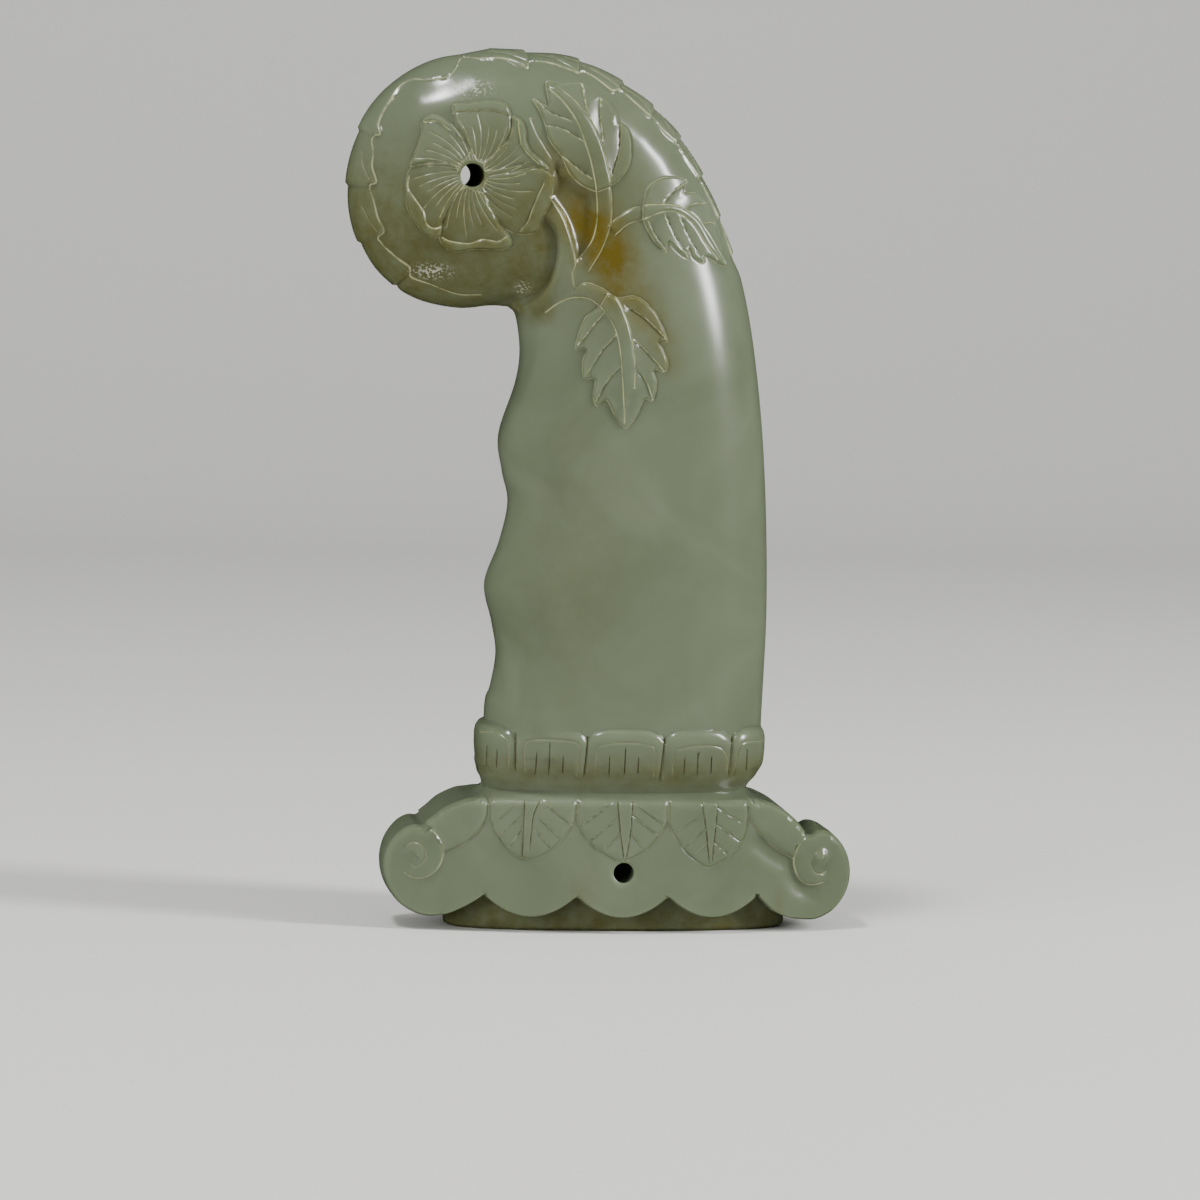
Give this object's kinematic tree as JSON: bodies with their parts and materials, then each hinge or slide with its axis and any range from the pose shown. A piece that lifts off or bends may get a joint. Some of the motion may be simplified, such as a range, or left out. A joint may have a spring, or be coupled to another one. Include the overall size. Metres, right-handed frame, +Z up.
{
  "type": "jade dagger hilt",
  "caption": "Pistol-grip dagger hilt carved from grey-green jade, with a ball pommel, finger grooves, raised flower and leaves, petalled collar and a block with scrolled ends.",
  "frame": {"origin": "on the surface it stands on, under the middle of the hilt's overall outline", "axes": "+Z up along the grip, +X towards the back of the grip, so the pommel overhangs towards -X, and -Y is the face shown in the picture"},
  "size_m": [0.0736, 0.025, 0.1243],
  "materials": {
    "jade": "softly polished grey-green jade"
  },
  "bodies": {
    "root": {"jade_hilt": "jade"}
  },
  "joints": []
}
